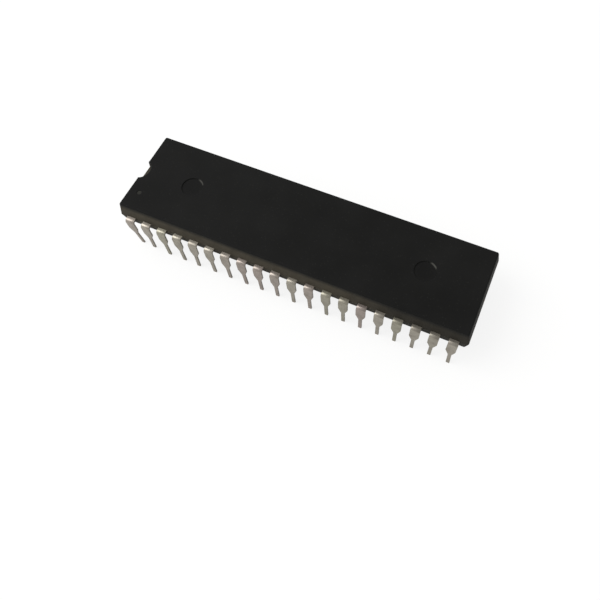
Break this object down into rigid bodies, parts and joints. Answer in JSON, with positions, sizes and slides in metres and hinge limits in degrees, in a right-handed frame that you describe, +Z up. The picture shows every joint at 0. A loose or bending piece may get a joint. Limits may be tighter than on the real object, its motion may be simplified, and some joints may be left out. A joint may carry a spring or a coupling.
{
  "type": "dip integrated circuit chip",
  "caption": "Dual in-line integrated circuit: a black moulded epoxy body with an end notch and two rows of bent, tinned leads that plug into a board or socket.",
  "frame": {"origin": "centre of the package in plan, at the plane of the lead tips", "axes": "+Z up out of the marked top face, +X along the body away from the notched end, so pins 1 to 20 run towards +X along the -Y side"},
  "size_m": [0.052, 0.0157, 0.0077],
  "materials": {
    "moulded_epoxy": "fine spark-eroded mould texture, nearly black, slightly worn",
    "tinned_lead": "dull tin plate over stamped copper alloy",
    "leadframe_copper": "bare stamped copper alloy",
    "silver_epoxy": "silver-filled adhesive",
    "silicon": "polished, slightly blue grey",
    "gold_wire": "bright drawn gold"
  },
  "bodies": {
    "root": {"package_body": "moulded_epoxy", "lead_01": "tinned_lead", "lead_02": "tinned_lead", "lead_03": "tinned_lead", "lead_04": "tinned_lead", "lead_05": "tinned_lead", "lead_06": "tinned_lead", "lead_07": "tinned_lead", "lead_08": "tinned_lead", "lead_09": "tinned_lead", "lead_10": "tinned_lead", "lead_11": "tinned_lead", "lead_12": "tinned_lead", "lead_13": "tinned_lead", "lead_14": "tinned_lead", "lead_15": "tinned_lead", "lead_16": "tinned_lead", "lead_17": "tinned_lead", "lead_18": "tinned_lead", "lead_19": "tinned_lead", "lead_20": "tinned_lead", "lead_21": "tinned_lead", "lead_22": "tinned_lead", "lead_23": "tinned_lead", "lead_24": "tinned_lead", "lead_25": "tinned_lead", "lead_26": "tinned_lead", "lead_27": "tinned_lead", "lead_28": "tinned_lead", "lead_29": "tinned_lead", "lead_30": "tinned_lead", "lead_31": "tinned_lead", "lead_32": "tinned_lead", "lead_33": "tinned_lead", "lead_34": "tinned_lead", "lead_35": "tinned_lead", "lead_36": "tinned_lead", "lead_37": "tinned_lead", "lead_38": "tinned_lead", "lead_39": "tinned_lead", "lead_40": "tinned_lead", "die_paddle": "leadframe_copper", "die_attach": "silver_epoxy", "silicon_die": "silicon", "bond_wires": "gold_wire"}
  },
  "joints": []
}
